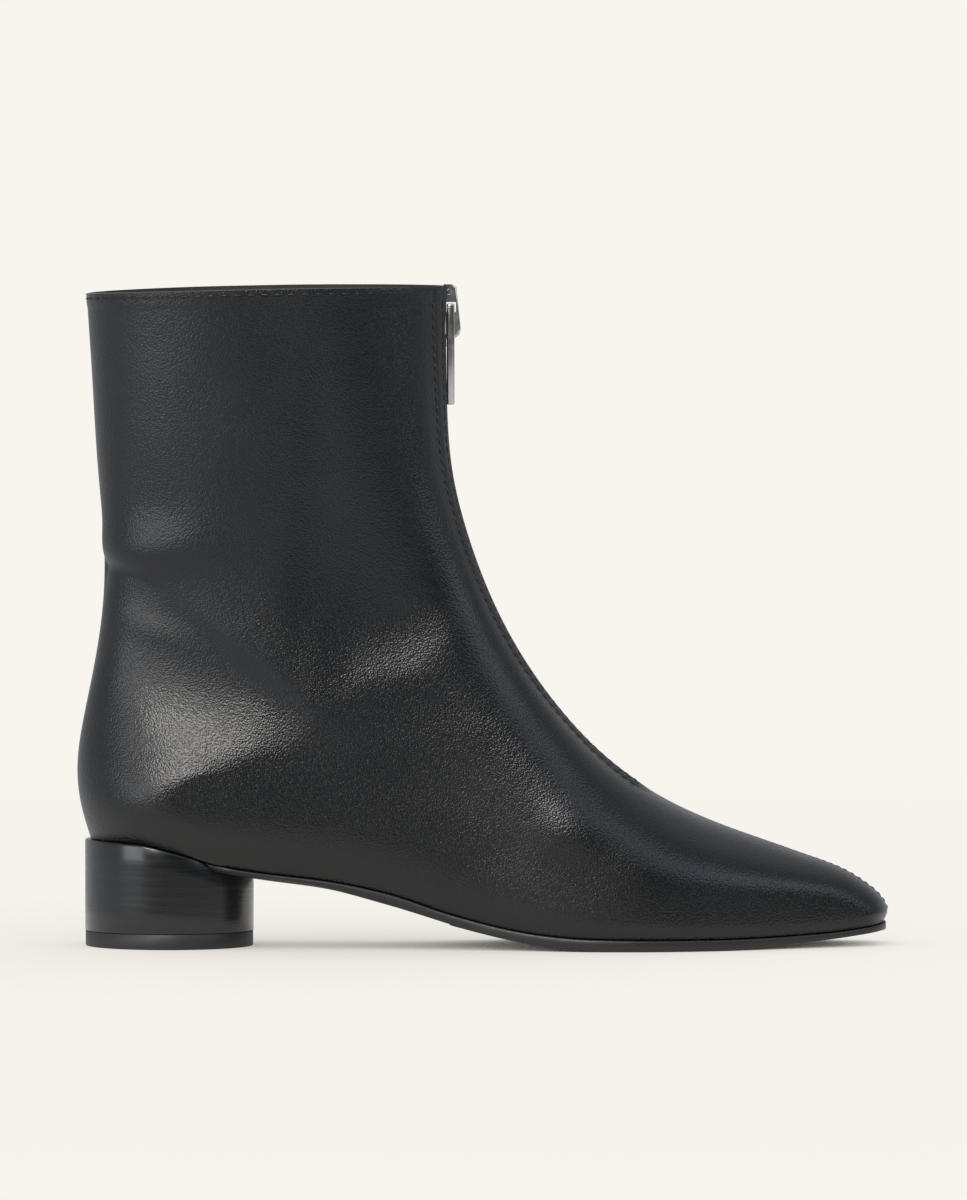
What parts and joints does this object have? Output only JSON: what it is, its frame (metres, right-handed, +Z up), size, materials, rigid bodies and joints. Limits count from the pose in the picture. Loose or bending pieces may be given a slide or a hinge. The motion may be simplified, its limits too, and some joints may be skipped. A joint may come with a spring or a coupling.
{
  "type": "heeled ankle boot",
  "caption": "Black leather ankle boot for the right foot with a round block heel, a slim soft-square toe and a centre-front zip with a hanging pull tab.",
  "frame": {"origin": "on the floor under the middle of the boot's length and width", "axes": "+X towards the toe, -Y towards the outer side of the right foot, +Z up the shaft"},
  "size_m": [0.258, 0.0769, 0.2106],
  "materials": {
    "upper_leather": "semi-matte fine grain",
    "sole_leather": "dressed black edge",
    "heel_stack": "stacked and lacquered",
    "top_rubber": "matte",
    "insole_leather": "matte",
    "zip_fabric": "woven",
    "zip_metal": "nickel plated"
  },
  "bodies": {
    "boot": {"upper": "upper_leather", "outsole": "sole_leather", "heel": "heel_stack", "heel_top_piece": "top_rubber", "insole": "insole_leather", "zip_tape_lateral": "zip_fabric", "zip_tape_medial": "zip_fabric", "zip_chain": "zip_metal", "zip_slider": "zip_metal"},
    "pull_tab": {"zip_pull_tab": "zip_metal"}
  },
  "joints": [
    {"name": "pull_tab_swing", "type": "hinge", "parent": "boot", "child": "pull_tab", "pos_m": [-0.01005, 0, 0.2033], "axis": [0, -1, 0], "range_deg": [0, 150]}
  ]
}
